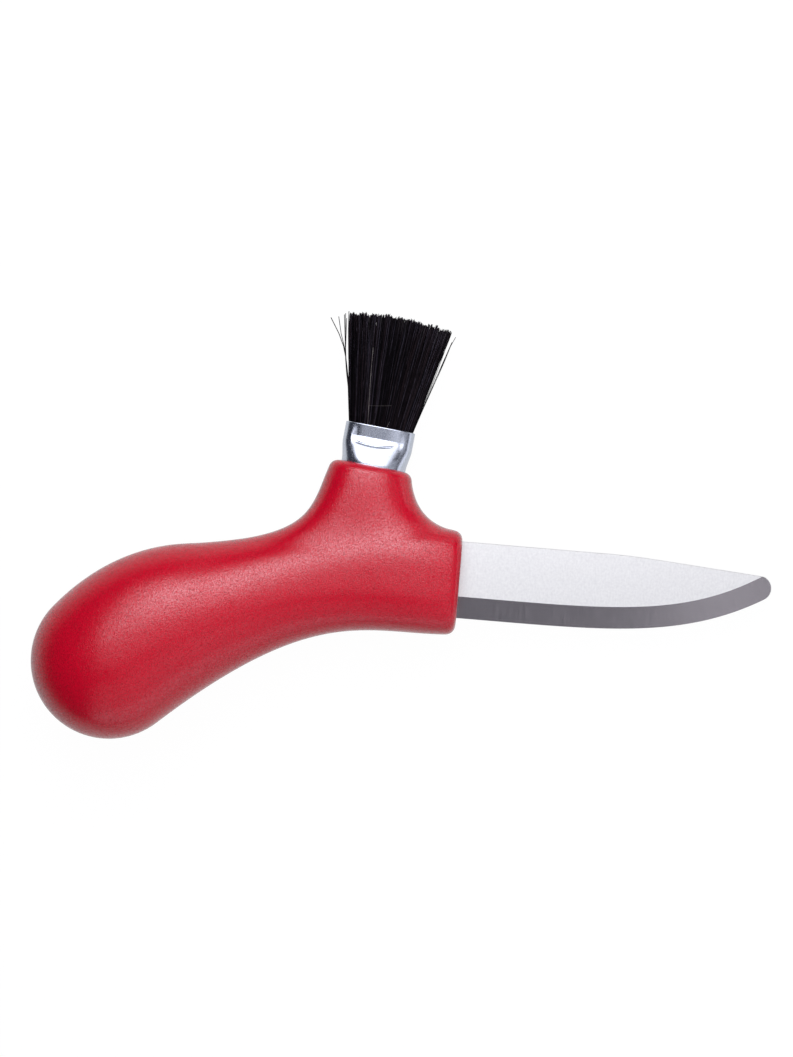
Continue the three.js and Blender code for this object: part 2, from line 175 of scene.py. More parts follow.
# %% [markdown]
# ## The handle's outline
#
# The handle is one plastic moulding, bent like a small club: a bulb for the palm, a neck,
# and a straight front that holds the blade. A club like this could be sculpted by hand.
# Here two rails are drawn, the top and the bottom of its side view, because each is only
# an arc round the bulb and one or two long sweeps, and ovals are then hung between them.

# %% Draw the two rails
HANDLE_LENGTH, BULB_RADIUS, BULB_DROP = 96.6, 18.0, 25.1
BULB_MEETS, BULB_TOP, BULB_UNDER = 220, 140, 312
WAIST_SLOPE, TOP_SLOPE, BOTTOM_SLOPE = 8.5, -9, 3.5
EDGE_ROUND, RAIL_STEPS = 2.2, 60
WAIST = np.array((-60.0, 3.7))
FRONT_TOP = np.array((-EDGE_ROUND, 11.4))
FRONT_BOTTOM = np.array((-EDGE_ROUND, -12.7))
BULB = np.array((BULB_RADIUS - HANDLE_LENGTH, -BULB_DROP))


def heading(degrees):
    return np.stack((np.cos(np.radians(degrees)), np.sin(np.radians(degrees))), -1)


def bezier(a, b, c, d, steps=RAIL_STEPS):
    t = np.linspace(0, 1, steps)[:, None]
    return a * (1 - t) ** 3 + 3 * b * t * (1 - t) ** 2 + 3 * c * t**2 * (1 - t) + d * t**3


def sweep(start, leaving, hold, end, arriving, hold_before):
    run = end[0] - start[0]
    after = start + heading(leaving) * hold * run
    before = end - heading(arriving) * hold_before * run
    return bezier(start, after, before, end)


def round_bulb(last):
    return BULB + BULB_RADIUS * heading(np.linspace(BULB_MEETS, last, RAIL_STEPS))


back, under = round_bulb(BULB_TOP), round_bulb(BULB_UNDER)
to_waist = sweep(back[-1], BULB_TOP - 90, 0.64, WAIST, WAIST_SLOPE, 0.15)
to_front = sweep(WAIST, WAIST_SLOPE, 0.33, FRONT_TOP, TOP_SLOPE, 0.33)
below = sweep(under[-1], BULB_UNDER - 270, 0.7, FRONT_BOTTOM, BOTTOM_SLOPE, 0.29)
top_rail = np.vstack((back, to_waist[1:], to_front[1:]))
bottom_rail = np.vstack((under, below[1:]))


def run_along(line):
    return np.concatenate(([0], np.cumsum(np.linalg.norm(np.diff(line, axis=0), axis=1))))


def on_rail(rail, share):
    run = run_along(rail)
    return np.stack([np.interp(share * run[-1], run, rail[:, i]) for i in (0, 1)], -1)


print(f"top rail {len(top_rail)} points, bottom rail {len(bottom_rail)} points")

# %% [markdown]
# ## Grip and boss
#
# The grip is a row of ovals between the rails. They are plain at the bulb and get squarer
# towards the front, more above than below. There the grip narrows a little, and its edge
# rounds over to a flat face. On its back stands the boss for the brush.
# A boss could be a cone joined on with a fillet, but the moulded one flows up out of the neck,
# so its sides are lines that leave the grip's skin along it and sweep up to the rim.

# %% Skin the grip
GRIP_RINGS, GRIP_POINTS = 150, 120
BULB_FLATNESS, FRONT_FLATNESS, PAST_BULB = 29 / 36, 20 / 24.1, 0.3
CROWN_RUN, CROWN_SHARE = 12.0, 0.06
SQUARE_ABOVE, SQUARE_BELOW, SQUARES_FROM = 3.5, 2.8, 0.55


def oval(angle, squareness):
    c, s = np.cos(angle), np.sin(angle)
    return np.sign(c) * np.abs(c) ** (2 / squareness), np.sign(s) * np.abs(s) ** (2 / squareness)


def grip_point(share, angle, inset=0.0):
    share, angle = np.broadcast_arrays(np.asarray(share, float), np.asarray(angle, float))
    top, bottom = on_rail(top_rail, share), on_rail(bottom_rail, share)
    depth = np.linalg.norm(top - bottom, axis=-1) / 2
    width = depth * blend_of(BULB_FLATNESS, FRONT_FLATNESS, ease(share, PAST_BULB, 1))
    square = np.where(np.cos(angle) > 0, SQUARE_ABOVE, SQUARE_BELOW)
    rise, side = oval(angle, blend_of(2, square, ease(share, SQUARES_FROM, 1)))
    upright = (top - bottom) / (2 * depth)[..., None]
    flat = (top + bottom) / 2 + upright * (rise * (depth - inset))[..., None]
    width = width * (1 - CROWN_SHARE * np.clip(1 + flat[..., 0] / CROWN_RUN, 0, 1) ** 2)
    return np.concatenate((flat, (side * (width - inset))[..., None]), -1)


def turns(count):
    return np.linspace(0, 2 * np.pi, count, endpoint=False)


quarter = np.radians(np.linspace(0, 90, 9))[1:]
round_over = list(zip(EDGE_ROUND * np.sin(quarter), EDGE_ROUND * (1 - np.cos(quarter))))
shares, around = np.linspace(0, 1, GRIP_RINGS + 1)[1:], turns(GRIP_POINTS)
grip_rings = [grip_point(share, around) for share in shares]
grip_rings += [grip_point(1, around, inset) + (out, 0, 0) for out, inset in round_over]
grip_front = np.append((FRONT_TOP + FRONT_BOTTOM) / 2, 0) + (EDGE_ROUND, 0, 0)
grip = skin(np.array(grip_rings), np.append(top_rail[0], 0), grip_front)
print("grip rings:", len(grip_rings))

# %% Sweep up the boss
BOSS_AT, BOSS_LEAN = np.array((-21.8, 24.5, 0.0)), math.radians(6)
BOSS_BACK, BOSS_FRONT, BOSS_HALF_THICKNESS = 10.1, 9.4, 7.7
FLARE_BACK, FLARE_FRONT, FOOT_SUNK, STEP_IN = 35, 19.4, 0.1, 0.05
BOSS_LINES, BOSS_WRAP, BOSS_SQUARENESS = 120, math.radians(66), 2.5
# Each at the boss's sides, front and back.
DRAFT_DEG, FOOT_HOLD, RIM_HOLD = (8, 23, 13), (0.36, 0.6, 0.72), (0.38, 0.12, 0.34)
lean_c, lean_s = math.cos(BOSS_LEAN), math.sin(BOSS_LEAN)
brush_turn = np.array(((lean_c, lean_s, 0), (-lean_s, lean_c, 0), (0, 0, 1)))
bristle_way = brush_turn[:, 1]


def from_brush(points):
    return np.asarray(points) @ brush_turn.T + BOSS_AT


def rim_point(angle, out, inset):
    along, side = oval(angle, BOSS_SQUARENESS)
    reach, half = BOSS_FRONT if along > 0 else BOSS_BACK, BOSS_HALF_THICKNESS
    return from_brush((along * (reach - inset), out - EDGE_ROUND, side * (half - inset)))


def share_at(x):
    stops = np.linspace(PAST_BULB, 1, 2001)
    return float(np.interp(x, on_rail(top_rail, stops)[:, 0], stops))


def unit(vector):
    return vector / np.linalg.norm(vector)


def by_angle(angle, at_side, at_front, at_back):
    at_end = at_front if math.cos(angle) > 0 else at_back
    return blend_of(at_side, at_end, math.cos(angle) ** 2)


middle_share = share_at(BOSS_AT[0])
print(f"boss stands at {middle_share:.2f} of the grip")

# %% Draw the boss's lines


def boss_line(angle):
    end = share_at(BOSS_AT[0] + (FLARE_FRONT if math.cos(angle) > 0 else -FLARE_BACK))
    share = middle_share + abs(end - middle_share) * math.cos(angle)
    turn = BOSS_WRAP * math.sin(angle)
    foot = grip_point(share, turn, FOOT_SUNK)
    nearer = blend_of(share, middle_share, STEP_IN)
    further = grip_point(nearer, turn * (1 - STEP_IN), FOOT_SUNK)
    rim = rim_point(angle, 0, 0)
    draft = math.tan(math.radians(by_angle(angle, *DRAFT_DEG)))
    down = unit(unit(rim_point(angle, 0, -1) - rim) * draft - bristle_way)
    span = np.linalg.norm(foot - rim)
    leaving = foot + unit(further - foot) * (by_angle(angle, *FOOT_HOLD) * span)
    arriving = rim + down * (by_angle(angle, *RIM_HOLD) * span)
    over = [rim_point(angle, out, inset) for out, inset in round_over]
    return np.vstack((bezier(foot, leaving, arriving, rim, steps=30), over))


boss_rings = np.stack([boss_line(angle) for angle in turns(BOSS_LINES)], 1)
boss_root = (grip_point(middle_share, 0) + grip_point(middle_share, np.pi)) / 2
boss = skin(boss_rings, boss_root, from_brush((0, 0, 0)))
print("boss lines:", BOSS_LINES)

# %% [markdown]
# ## One moulding
#
# Grip and boss still pass through each other, and on the real handle there is no seam.
# A boolean would join them with a sharp crease. A voxel remesh lays one even skin over both,
# and a few passes of smoothing even it out. Many more, which a vertex group holds to the foot
# of the boss, melt it into the neck as the mould does.

# %% Melt grip and boss into one
SKIN_SIZE, SKIN_MELTS, MELT_STEP = 0.45, 8, 0.5
handle = set_down("handle_skin", *together(grip, boss))
even = handle.modifiers.new("even_skin", "REMESH")
even.mode, even.voxel_size = "VOXEL", SKIN_SIZE * MM
melt = handle.modifiers.new("melt", "SMOOTH")
melt.factor, melt.iterations = MELT_STEP, SKIN_MELTS
settle(handle)
print("handle skin:", len(handle.data.polygons), "faces")

# %% Melt the foot of the boss further
FOOT_TOP, FOOT_BOTTOM, FOOT_BACK, FOOT_FRONT = (-6.5, -3.5), (-7, 0), (-68, -60), (-6, -3)
FOOT_MELTS, LEAST_MELT = 60, 0.01
skin_points = knife_places(handle)
up_brush = (skin_points - BOSS_AT) @ bristle_way
at_foot = (1 - ease(up_brush, *FOOT_TOP)) * ease(skin_points[:, 1], *FOOT_BOTTOM)
at_foot *= ease(skin_points[:, 0], *FOOT_BACK) * (1 - ease(skin_points[:, 0], *FOOT_FRONT))
melting = np.flatnonzero(at_foot > LEAST_MELT).tolist()
foot = handle.vertex_groups.new(name="boss_foot")
for point in melting:
    foot.add([point], at_foot[point], "REPLACE")
melt = handle.modifiers.new("melt_foot", "SMOOTH")
melt.factor, melt.iterations, melt.vertex_group = MELT_STEP, FOOT_MELTS, foot.name
settle(handle)
handle.vertex_groups.clear()
print("points at the foot:", len(melting))

# %% [markdown]
# ## The blade
#
# The blade is stamped from strip two millimetres thick: a straight spine that falls a little
# to a round tip, and an edge that rises to meet it. Both faces are then ground to the edge,
# and tumbling takes the sharpness off the spine.
# The bevel could be a chamfer on the outline, but a chamfer can't follow the grinding wheel
# round the tip. So the plan is cut into triangles along the line where the grinding stops,
# and each point is raised to half the thickness that the wheel leaves there.

# %% Draw the blade's outline
BLADE_LENGTH, BLADE_THICKNESS = 71.7, 2.0
SPINE_RISE, SPINE_STRAIGHT, SPINE_BEND, SPINE_FALL = 8.95, 33, 12, 4.2
EDGE_DROP, EDGE_STRAIGHT, EDGE_RISE, TIP_RADIUS = 8.7, 9, 30.6, 2.85
BEVEL_HEIGHT, EDGE_LAND, EDGE_HOLD, TIP_HOLD = 5.0, 0.12, 0.45, 0.32
HEEL, TANG_LENGTH, TANG_DROP, TANG_ROOT, TANG_END = 8, 46, 2.5, 4.5, 3.0
KEY_HOLE_AT, KEY_HOLE_RADIUS = np.array((-20, -2.5)), 2.0
spine_bend = np.array((SPINE_STRAIGHT + SPINE_BEND / 2, SPINE_RISE))
tip_run = BLADE_LENGTH - TIP_RADIUS - spine_bend[0]
fall = math.radians(SPINE_FALL)
tip_top = SPINE_RISE - tip_run * math.tan(fall)
tip_centre = np.array((BLADE_LENGTH - TIP_RADIUS, tip_top - TIP_RADIUS / math.cos(fall)))


def edge_curve(room):
    start = np.array((EDGE_STRAIGHT, -EDGE_DROP - room))
    end = tip_centre + heading(EDGE_RISE - 90) * (TIP_RADIUS + room)
    span = end[0] - start[0]
    leaving = start + (EDGE_HOLD * span, 0)
    arriving = end - heading(EDGE_RISE) * TIP_HOLD * span
    return bezier(start, leaving, arriving, end, steps=90)


def tip_and_spine(room):
    spine = SPINE_RISE + room
    round_tip = heading(np.linspace(EDGE_RISE - 90, 90 - SPINE_FALL, 40))
    tip = tip_centre + (TIP_RADIUS + room) * round_tip
    start, bend = np.array((SPINE_STRAIGHT, spine)), np.array((spine_bend[0], spine))
    end = bend + heading(-SPINE_FALL) * SPINE_BEND / 2
    leaving, arriving = blend_of(end, bend, 2 / 3), blend_of(start, bend, 2 / 3)
    curve = bezier(end, leaving, arriving, start, steps=20)
    return np.vstack((tip, curve, (-HEEL - room, spine)))


def blade_outline(room):
    heel, far = -HEEL - room, -TANG_LENGTH - room
    root, end = TANG_ROOT + room, TANG_END + room
    tang = (
        (heel, root - TANG_DROP),
        (far, end - TANG_DROP),
        (far, -end - TANG_DROP),
        (heel, -root - TANG_DROP),
        (heel, -EDGE_DROP - room),
    )
    return np.vstack((edge_curve(room), tip_and_spine(room)[1:], tang))


print("blade outline:", len(blade_outline(0)), "points")

# %% Follow the grinding wheel
GRIND_SLOPE = (BLADE_THICKNESS - EDGE_LAND) / 2 / BEVEL_HEIGHT
EDGE_EASE, EASE_WIDTH, WHEEL_OVERRUN = 0.07, 0.09, 9


def left_of(line, way, room):
    across = np.column_stack((-way[:, 1], way[:, 0]))
    return line + room * across / np.linalg.norm(way, axis=1)[:, None]


def wheel_path(room, inward):
    edge = edge_curve(room)
    way = np.gradient(edge, axis=0)
    way[0], way[-1] = heading(0), heading(EDGE_RISE)
    before = edge[0] - (HEEL + EDGE_STRAIGHT + room, 0)
    beyond = edge[-1] + WHEEL_OVERRUN * heading(EDGE_RISE)
    way = np.vstack((heading(0), way, heading(EDGE_RISE)))
    return left_of(np.vstack((before, edge, beyond)), way, inward)


def distance_to(path, points):
    start, run = path[:-1], np.diff(path, axis=0)
    along = ((points[:, None] - start) * run).sum(2) / (run**2).sum(1)
    nearest = start + np.clip(along, 0, 1)[..., None] * run
    return np.linalg.norm(points[:, None] - nearest, axis=2).min(1)


def half_thickness(points, room):
    ground = EDGE_LAND / 2 + GRIND_SLOPE * distance_to(wheel_path(room, 0), points)
    half = np.minimum(BLADE_THICKNESS / 2, ground)
    eased = distance_to(tip_and_spine(room), points) < EASE_WIDTH / 3
    return half - eased * np.minimum(EDGE_EASE, half / 3) + room


print(f"bevel slope {math.degrees(math.atan(GRIND_SLOPE)):.1f} degrees")

# %% Cut the plan and raise it


def cut_plan(room):
    spine, hole_radius = tip_and_spine(room), KEY_HOLE_RADIUS - room
    eased = left_of(spine, np.gradient(spine, axis=0), EASE_WIDTH)
    eased[-1, 0] += EASE_WIDTH
    hole = KEY_HOLE_AT + hole_radius * heading(np.linspace(0, 360, 48, endpoint=False))
    closed = (blade_outline(room), True), (hole, True)
    open_ended = (wheel_path(room, BEVEL_HEIGHT), False), (eased[2:], False)
    points, joins = np.empty((0, 2)), []
    for line, closes in closed + open_ended:
        first, last = len(points), len(points) + len(line) - 1
        joins += [(i, i + 1) for i in range(first, last)] + [(last, first)] * closes
        points = np.vstack((points, line))
    plan, _, faces, *_ = delaunay_2d_cdt([Vector(p) for p in points], joins, [], 1, 1e-4)
    plan, faces = np.array([tuple(p) for p in plan]), np.array(faces)
    from_hole = np.linalg.norm(plan[faces].mean(1) - KEY_HOLE_AT, axis=1)
    used, faces = np.unique(faces[from_hole > hole_radius], return_inverse=True)
    return plan[used], faces.reshape(-1, 3)


def rim_sides(faces, count):
    sides = np.concatenate([faces[:, (i, (i + 1) % 3)] for i in range(3)])
    names = np.sort(sides, 1) @ (count, 1)
    known, times = np.unique(names, return_counts=True)
    return sides[np.isin(names, known[times == 1])]


def blade_shape(name, room):
    plan, faces = cut_plan(room)
    count, half = len(plan), half_thickness(plan, room)
    rim = rim_sides(faces, count)
    walls = np.column_stack((rim, rim[:, ::-1] + count))
    both = np.vstack((np.column_stack((plan, half)), np.column_stack((plan, -half))))
    flats = faces.tolist() + (faces[:, ::-1] + count).tolist()
    return set_down(name, both, flats + walls.tolist())


blade = blade_shape("blade_plan", 0)
finish_shape(blade, "blade_ground", crease_deg=4.7)

# %% Remember the grinding marks
stops = wheel_path(0, 0)
steps = [np.linspace(a, b, 30, endpoint=False) for a, b in zip(stops[:-1], stops[1:])]
marks_edge = np.vstack(steps)
marks_run = run_along(marks_edge)
blade_points = knife_places(blade)
apart = np.linalg.norm(blade_points[:, None, :2] - marks_edge[None], axis=2)
from_edge = apart.min(1)
along_edge = np.column_stack((marks_run[apart.argmin(1)], from_edge, blade_points[:, 2]))
remember(blade, "along_edge", along_edge)
print(f"cutting edge {marks_run[-1]:.1f} mm long")

# %% [markdown]
# ## The ferrule
#
# The ferrule is a tube of bright tinned sheet. It is oval where the boss holds it and pressed
# flat towards its mouth, and a crimping tool has pinched it round the bristles, which leaves
# a dished band under the rim and a fine curved mark below. A bump map could paint the crimp,
# but its bright and dark bands come from real slopes, so the tube's own rings carry it.
# Straight rings would draw the fine mark as a row of steps, so they bend and run along it.

# %% Shape the ferrule's rings
FERRULE_FOOT, MOUTH, SHEET = -12.0, 9.1, 0.45
FOOT_ACROSS, MOUTH_ACROSS, FOOT_THROUGH, MOUTH_THROUGH = 14.9, 16.1, 11, 8
FOOT_SQUARENESS, MOUTH_SQUARENESS, PRESSED, SQUARED = 2.2, 2.75, (0.2, 5.0), (-1.5, 3.0)
FERRULE_POINTS, FINE_TURNS = 300, 1200
LAST_RING = MOUTH - SHEET / 2


def evenly(across, through, count):
    line = np.column_stack((np.append(across, across[0]), np.append(through, through[0])))
    run = run_along(line)
    stops = np.linspace(0, run[-1], count, endpoint=False)
    return np.interp(stops, run, line[:, 0]), np.interp(stops, run, line[:, 1])


def half_through(height, offset):
    return blend_of(FOOT_THROUGH, MOUTH_THROUGH, ease(height, *PRESSED)) / 2 + offset


def ferrule_ring(height, offset, count=FERRULE_POINTS):
    squareness = blend_of(FOOT_SQUARENESS, MOUTH_SQUARENESS, ease(height, *SQUARED))
    across, through = oval(turns(FINE_TURNS), squareness)
    half_across = blend_of(FOOT_ACROSS, MOUTH_ACROSS, ease(height, *PRESSED)) / 2 + offset
    p, thick = evenly(across * half_across, through * half_through(height, offset), count)
    return np.column_stack((p, np.full(count, height), thick))


print(f"ferrule's mouth {np.ptp(ferrule_ring(MOUTH, 0)[:, 0]):.1f} mm across")

# %% Pinch the crimp and its mark
CRIMP_AT, CRIMP_DEPTH, CRIMP_HALF_WIDTH, CRIMP_END, CRIMP_RUN = 6.3, 0.5, 6.6, 1.6, 2.8
CRIMP_FACE, CRIMP_LESS, CRIMP_LESSENS = (0.55, 0.9), 0.45, (1.0, 5.5)
MARK_LOW, MARK_CURVE, MARK_SHIFT, MARK_DEPTH, MARK_WIDTH = 4.45, 0.0264, -1.25, 0.14, 0.23
MARK_MIDDLE, MARK_FADES, MARK_ENDS = -0.5, 3.7, 5.1


def mark_rise(p):
    return MARK_CURVE * (p - MARK_SHIFT) ** 2


def slid(values, heights, bent):
    return np.stack([np.interp(to, heights, line) for to, line in zip(bent.T, values.T)], 1)


def along_mark(rings):
    heights = rings[:, 0, 1]
    share = np.interp(heights, (0, MARK_LOW, LAST_RING), (0, 1, 0))[:, None]
    bent = heights[:, None] + share * mark_rise(rings[:, :, 0])
    p, thick = (slid(rings[:, :, i], heights, bent) for i in (0, 2))
    return np.stack((p, bent, thick), -1)


def pinched(rings, offset):
    p, height, thick = np.moveaxis(rings, -1, 0)
    on_face = ease(np.abs(thick) / half_through(height, offset), *CRIMP_FACE)
    on_face = on_face * (1 - ease(np.abs(p), CRIMP_HALF_WIDTH - CRIMP_END, CRIMP_HALF_WIDTH))
    rising = np.clip((height - CRIMP_AT) / (MOUTH - CRIMP_AT), 0, 1)
    dish = ease(height, CRIMP_AT - CRIMP_RUN, CRIMP_AT) * (1 - rising)
    dish = dish * (1 - CRIMP_LESS * ease(p, *CRIMP_LESSENS))
    mark = np.exp(-(((height - MARK_LOW - mark_rise(p)) / MARK_WIDTH) ** 2))
    mark = mark * (1 - ease(np.abs(p - MARK_MIDDLE), MARK_FADES, MARK_ENDS))
    sunk = on_face * (CRIMP_DEPTH * dish + MARK_DEPTH * mark)
    return np.stack((p, height, thick - np.sign(thick) * sunk), -1)


print(f"crimp {CRIMP_DEPTH} mm deep, its mark {MARK_DEPTH} mm")

# %% Press the ferrule
# From, to and how many rings.
RING_RUNS = ((FERRULE_FOOT, 0.1, 8), (0.1, 3.7, 45), (3.7, 5.2, 70), (5.2, LAST_RING, 65))
LINING_RINGS = 24


def ferrule_wall(heights, offset):
    return pinched(along_mark(np.array([ferrule_ring(h, offset) for h in heights])), offset)


def ferrule_lip(turn):
    height, offset = MOUTH + SHEET / 2 * (math.sin(turn) - 1), SHEET / 2 * (math.cos(turn) - 1)
    return pinched(ferrule_ring(height, offset), offset)


def ferrule_tube():
    runs = [np.linspace(*run, endpoint=False) for run in RING_RUNS]
    heights = np.concatenate((*runs, [LAST_RING]))
    lip = np.array([ferrule_lip(turn) for turn in np.linspace(0, np.pi, 9)[1:-1]])
    lining = ferrule_wall(np.linspace(FERRULE_FOOT, LAST_RING, LINING_RINGS), -SHEET)[::-1]
    rings = np.concatenate((ferrule_wall(heights, 0), lip, lining))
    rows, count = rings.shape[:2]
    grid = np.arange(rows * count).reshape(rows, count)
    corners = (grid, np.roll(grid, -1, 1), np.roll(grid, (-1, -1), (0, 1)), np.roll(grid, -1, 0))
    return from_brush(rings.reshape(-1, 3)), np.stack(corners, -1).reshape(-1, 4).tolist()


ferrule = set_down("ferrule_tube", *ferrule_tube())
finish_shape(ferrule, "ferrule_pressed", crease_deg=50)

# %% [markdown]
# ## Slot and socket
#
# The plastic is moulded round the blade's heel and tang, and the ferrule is pushed into
# a socket in the boss. The pieces could simply pass through the handle, since nobody sees
# inside, but a handle with a true slot and socket is still right when it is taken apart.
# The tang's key hole leaves a pin of plastic standing in the slot, and that holds the blade.

# %% Cut the slot and the socket
TIGHT_FIT, SOCKET_POINTS = 0.03, 120
SOCKET_BOTTOM, SOCKET_WIDENS, SOCKET_TOP = FERRULE_FOOT - 0.3, -0.5, MOUTH


def socket_tool():
    heights = np.concatenate(([SOCKET_BOTTOM], np.linspace(SOCKET_WIDENS, SOCKET_TOP, 40)))
    rings = from_brush([ferrule_ring(h, TIGHT_FIT, SOCKET_POINTS) for h in heights])
    foot, top = from_brush((0, SOCKET_BOTTOM, 0)), from_brush((0, SOCKET_TOP, 0))
    return set_down("socket_tool", *skin(rings, foot, top))


carve(handle, blade_shape("slot_tool", TIGHT_FIT), socket_tool())
finish_shape(handle, "handle_moulded", crease_deg=50)

# %% [markdown]
# ## The tuft
#
# The tuft is some two and a half thousand black hairs, set in resin inside the ferrule and
# fanned out to an even, slightly crowned cut. A hair system would draw them, but it leaves
# no mesh behind, so each hair is a thin three-sided tube. Hairs that stand together lean
# together: each has a neighbour that it follows towards its tip, and the cut falls into small
# nicks. That is what gives a brush its streaks and its ragged end.

# %% Plant the hairs
ROOT_AT, TIP_AT, CROWN = 5.4, 34.5, 1.2
ROOT_HALF, MOUTH_HALF, TIP_HALF = np.array(((7.2, 3.0), (7.4, 3.35), (12.2, 4.65)))
HAIR_PITCH, HAIR_RADIUS, LOCKS = 0.185, 0.085, 420
ROW_PITCH, ROOT_JITTER = 0.87 * HAIR_PITCH, 0.3 * HAIR_PITCH
draw = np.random.default_rng(11)

across_step, through_step = HAIR_PITCH / ROOT_HALF[0], ROW_PITCH / ROOT_HALF[1]
columns, rows = np.meshgrid(np.arange(-1, 1, across_step), np.arange(-1, 1, through_step))
columns = columns + (np.arange(len(rows)) % 2)[:, None] * across_step / 2
roots = np.column_stack((columns.ravel(), rows.ravel()))
roots += draw.normal(0, ROOT_JITTER, roots.shape) / ROOT_HALF
roots = roots[(np.abs(roots) ** 3).sum(1) < 1]
leaders = roots[draw.choice(len(roots), LOCKS, replace=False)]
lock_of = ((roots[:, None] - leaders[None]) ** 2).sum(2).argmin(1)
print("hairs:", len(roots))

# %% Comb the hairs
STATIONS = np.array((0, 0.12, 0.24, 0.36, 0.48, 0.6, 0.72, 0.84, 0.93, 1.0))
NICKS, NICK_DEPTH, NICK_PULL = 41, 0.18, 0.15
UNEVEN_LOCKS, UNEVEN_HAIRS, SHORTEST, LONGEST = 0.16, 0.3, -2.2, 0.75
STRAY, BOW, WAVE = (0.012, 0.03), (0.11, 0.09), (0.07, 0.05)
LOCK_PULL, HAIR_PULL, WIDEST, FAN_POWER = (0.1, 0.6), (0.3, 1), 1.04, 1.5
lock_length, lock_pull = draw.normal(0, UNEVEN_LOCKS, LOCKS), draw.uniform(*LOCK_PULL, LOCKS)
follow = lock_pull[lock_of] * draw.uniform(*HAIR_PULL, len(roots))
ends = blend_of(roots, leaders[lock_of], follow[:, None])
ends = np.clip(ends + draw.normal(0, STRAY, roots.shape), -WIDEST, WIDEST)
nick = np.rint(ends[:, 0] * NICKS / 2).astype(int)
ends[:, 0] = blend_of(ends[:, 0], nick * 2 / NICKS, NICK_PULL)
nick_length = draw.normal(0, NICK_DEPTH, NICKS + 3)[nick + NICKS // 2 + 1]
hair_length = lock_length[lock_of] + nick_length
hair_length -= np.abs(draw.normal(0, UNEVEN_HAIRS, len(roots)))
tips = TIP_AT - CROWN * roots[:, 0] ** 2 + np.clip(hair_length, SHORTEST, LONGEST)
bow, wave = draw.normal(0, BOW, roots.shape), draw.normal(0, WAVE, roots.shape)


def comb(station):
    height = blend_of(ROOT_AT, tips, station)
    lift = np.clip((height - MOUTH) / (TIP_AT - MOUTH), 0, 1)[:, None]
    inside = np.clip((height - ROOT_AT) / (MOUTH - ROOT_AT), 0, 1)[:, None]
    held = blend_of(ROOT_HALF, MOUTH_HALF, inside)
    fanned = blend_of(MOUTH_HALF, TIP_HALF, lift)
    place = blend_of(roots, ends, lift**FAN_POWER) * np.where(lift > 0, fanned, held)
    place = place + bow * np.sin(np.pi * lift) + wave * np.sin(3 * np.pi * lift)
    return np.column_stack((place[:, 0], height, place[:, 1]))


hair_paths = np.stack([comb(station) for station in STATIONS], 1)
tuft_size = np.ptp(hair_paths.reshape(-1, 3), axis=0)
print(f"tuft {tuft_size[0]:.1f} mm wide, {tuft_size[2]:.1f} mm thick")

# %% Give each hair its thickness and shade
THICKNESS, TIP_TAPER = (0.85, 1.12), 0.75
LOCK_TINT, HAIR_TINT, TINT_POWER, PALEST = 0.12, 0.64, 1.4, 0.76
taper = np.interp(STATIONS, (0, 0.7, 1), (1, 1, TIP_TAPER))
hair_radii = HAIR_RADIUS * draw.uniform(*THICKNESS, len(roots))[:, None] * taper
lock_tint = draw.uniform(0, LOCK_TINT, LOCKS)
hair_tint = lock_tint[lock_of] + HAIR_TINT * draw.uniform(0, 1, len(roots)) ** TINT_POWER
hair_tint = np.clip(hair_tint, 0, PALEST)
print(f"hairs {2 * hair_radii.min():.2f} to {2 * hair_radii.max():.2f} mm thick")

# %% [markdown]
# ### Loose hairs
#
# No used or even new brush is perfectly combed. A few hairs stand off the left side and fall
# out past the cut, some more have sprung from the right side, and three pale ones lie on
# the front. Chance could scatter them, but seldom where a real brush has them, so they are
# drawn, each from a few points in the brush's own axes: across the ferrule, along
# the bristles, and off the flat.

# %% Draw the loose hairs
ON_FRONT, PALE_LIMIT = 4.3, 0.85
FALLEN = ((-7.2, 8), (-8.5, 15), (-9.4, 18.4), (-10.6, 22.4), (-11.7, 25.4), (-13.4, 28.3))
# Radius, shade, points across and along the brush, and distance off the flat.
LOOSE = (
    (0.13, 0.1, (*FALLEN, (-16.0, 31.7)), 0.6),
    (0.11, 0.1, ((-7.2, 8), (-9.2, 17.5), (-11.4, 25), (-12.9, 28.2), (-14.3, 32.3)), 0.2),
    (0.1, 0.1, ((-7.2, 8), (-9.1, 16.9), (-11.1, 23.9), (-12.4, 32.2)), 1.2),
    (0.1, 0.1, ((-7.2, 8), (-9.3, 17.4), (-11.5, 25.6), (-12.9, 33.4)), -0.7),
    (0.11, 0.1, ((-7.2, 8), (-8.9, 16), (-10.6, 21.5), (-12.0, 28.0), (-13.1, 33.0)), 0.1),
    (0.12, 0.2, ((-7.0, 8), (-8.6, 16), (-10.3, 23.5), (-11.5, 29.5), (-12.2, 33.9)), 0.9),
    (0.09, 0.1, ((7.2, 8), (8.4, 13.5), (10.9, 24.1), (11.9, 29.4), (13.0, 32.6)), 0.8),
    (0.09, 0.1, ((7.2, 8), (8.2, 13.0), (10.5, 23.3), (12.4, 31.4)), -0.3),
    (0.09, 0.1, ((7.2, 8), (8.9, 16.0), (11.3, 25.5), (12.3, 30.6)), 1.6),
    (0.04, 0.94, ((-3.0, 8.6), (-3.1, 9.6), (-3.8, 14.8), (-4.55, 21.3), (-5.1, 26.6)), ON_FRONT),
    (0.03, 0.88, ((-3.7, 13.3), (-1.2, 13.75), (1.5, 14.3)), ON_FRONT),
    (0.04, 0.95, ((1.4, 9.3), (1.75, 10.6)), ON_FRONT),
)
FRONT_STOPS = (MOUTH - 1, MOUTH + 5, TIP_AT)
FRONT_AT = (0.9 * MOUTH_HALF[1], 1.12 * MOUTH_HALF[1], TIP_HALF[1])
LIES_ABOVE, SPRINGS_OVER, LEAST_OFF, TIP_PALING = 0.1, 10, 0.2, 0.16


